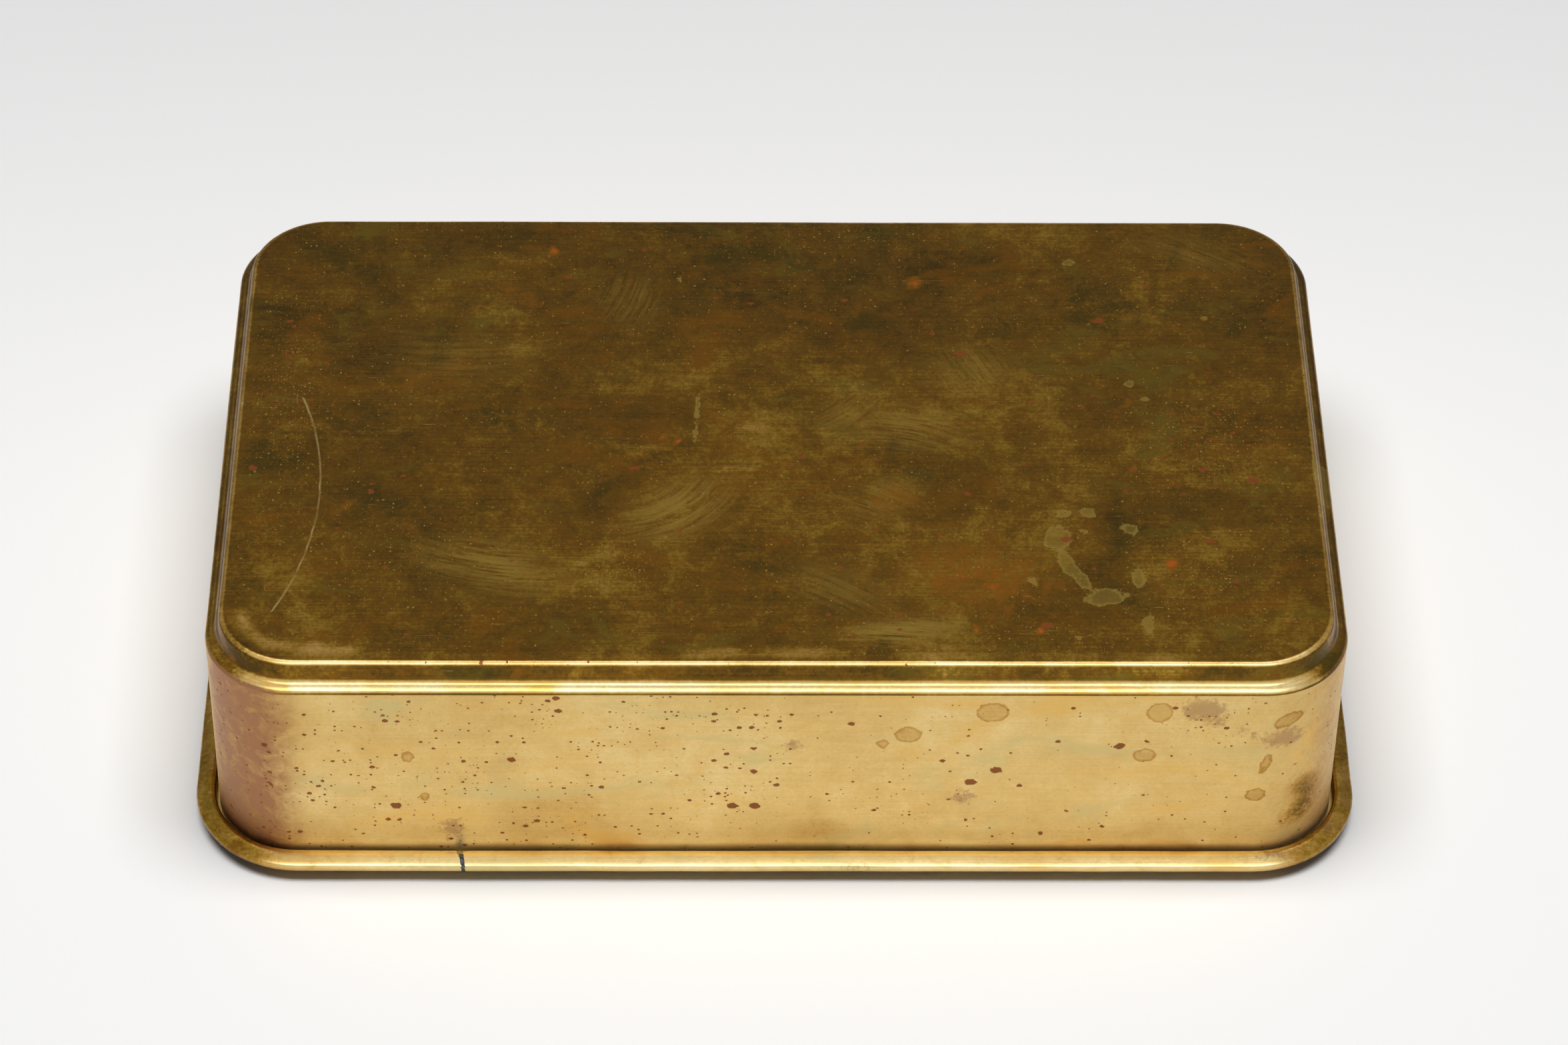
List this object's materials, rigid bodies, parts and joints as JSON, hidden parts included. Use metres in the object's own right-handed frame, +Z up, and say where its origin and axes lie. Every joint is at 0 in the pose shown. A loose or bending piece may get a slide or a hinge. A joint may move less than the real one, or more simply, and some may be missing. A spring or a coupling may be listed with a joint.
{
  "type": "needle case",
  "caption": "Rectangular brass needle case: a deep lift-off cover over a shallow wired-edge base, with a lift-out tray that holds needles.",
  "frame": {"origin": "middle of the underside of the base, on the surface the case stands on", "axes": "+Z up, out of the cover's panel; +X along the case's long side; -Y is the side with the rim's butt joint"},
  "size_m": [0.156, 0.0982, 0.0362],
  "materials": {
    "worn_brass": "pale polished brass with fingerprints, small red-brown spots and stains",
    "patina_brass": "deep-drawn brass, tarnished brown on top and rubbed bright at its edges",
    "tray_brass": "clean satin brass kept from handling",
    "wire_brass": "drawn brass wire, lightly dulled",
    "felt": "dense wool felt with a short nap",
    "needle_steel": "bright polished needle steel",
    "solder": "dull grey soft solder"
  },
  "bodies": {
    "base": {"base_pan": "worn_brass", "rim_wire": "wire_brass", "rim_solder": "solder", "inner_collar": "worn_brass", "base_lining": "felt", "long_divider": "tray_brass", "cross_dividers": "tray_brass"},
    "cover": {"cover": "patina_brass", "cover_lining": "felt"},
    "tray": {"tray_pan": "tray_brass", "tray_lining": "felt", "front_comb_outer": "tray_brass", "front_comb_inner": "tray_brass", "rear_comb_inner": "tray_brass", "rear_comb_outer": "tray_brass", "keeper_lugs": "tray_brass", "loop_lugs": "tray_brass", "tray_rivets": "wire_brass", "short_needles": "needle_steel", "long_needles": "needle_steel"},
    "front_keeper": {"front_keeper": "wire_brass"},
    "rear_keeper": {"rear_keeper": "wire_brass"},
    "left_loop": {"left_loop": "wire_brass"},
    "right_loop": {"right_loop": "wire_brass"}
  },
  "joints": [
    {"name": "cover_lift", "type": "slide", "parent": "base", "child": "cover", "axis": [0, 0, 1], "range_m": [0, 0.11]},
    {"name": "tray_lift", "type": "slide", "parent": "base", "child": "tray", "axis": [0, 0, 1], "range_m": [0, 0.044]},
    {"name": "front_keeper_hinge", "type": "hinge", "parent": "tray", "child": "front_keeper", "pos_m": [0, -0.0295, 0.0227], "axis": [1, 0, 0], "range_deg": [0, 110]},
    {"name": "rear_keeper_hinge", "type": "hinge", "parent": "tray", "child": "rear_keeper", "pos_m": [0, 0.0275, 0.0227], "axis": [-1, 0, 0], "range_deg": [0, 110]},
    {"name": "left_loop_hinge", "type": "hinge", "parent": "tray", "child": "left_loop", "pos_m": [-0.068, 0, 0.0227], "axis": [0, -1, 0], "range_deg": [0, 90]},
    {"name": "right_loop_hinge", "type": "hinge", "parent": "tray", "child": "right_loop", "pos_m": [0.068, 0, 0.0227], "axis": [0, 1, 0], "range_deg": [0, 90]}
  ],
  "couplings": [
    {"joint": "tray_lift", "follows": "cover_lift", "ratio": 0.4}
  ]
}
